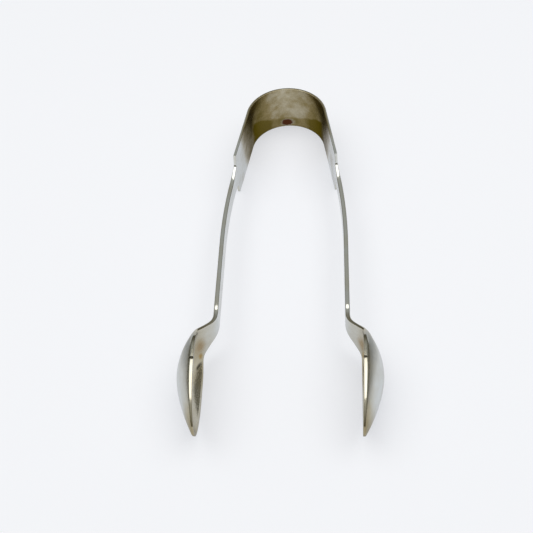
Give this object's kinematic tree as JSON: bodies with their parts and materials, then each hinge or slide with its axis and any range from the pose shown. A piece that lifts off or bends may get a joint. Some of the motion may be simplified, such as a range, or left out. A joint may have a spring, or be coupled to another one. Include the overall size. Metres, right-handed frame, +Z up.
{
  "type": "ice tongs",
  "caption": "One-hand spring tongs: a wide U-shaped bow, two narrow stems with cranked necks, and two facing spoon bowls.",
  "frame": {"origin": "middle of the footprint, on the surface that the tongs lie on", "axes": "+X is the spread from left arm to right arm, +Y runs along the tongs towards the bow, +Z is up, along the width of the bow"},
  "size_m": [0.0606, 0.1368, 0.021],
  "materials": {
    "bow_metal": "polished silver plate, toned olive and brown by tarnish",
    "arm_metal": "polished silver plate, slightly yellowed",
    "bowl_metal": "polished silver plate with fine wear scratches"
  },
  "bodies": {
    "spring_bow": {"bow": "bow_metal"},
    "left_side": {"left_arm": "arm_metal", "left_bowl": "bowl_metal"},
    "right_side": {"right_arm": "arm_metal", "right_bowl": "bowl_metal"}
  },
  "joints": [
    {"name": "left_close", "type": "hinge", "parent": "spring_bow", "child": "left_side", "pos_m": [-0.0114, 0.0555, 0.009], "axis": [0, 0, 1], "range_deg": [0, 10.7], "stiffness_Nm_per_rad": 3.5, "deforming": ["bow"]},
    {"name": "right_close", "type": "hinge", "parent": "spring_bow", "child": "right_side", "pos_m": [0.0114, 0.0555, 0.009], "axis": [0, 0, -1], "range_deg": [0, 10.7], "stiffness_Nm_per_rad": 3.5, "deforming": ["bow"]}
  ],
  "couplings": [
    {"joint": "right_close", "follows": "left_close", "ratio": 1}
  ]
}
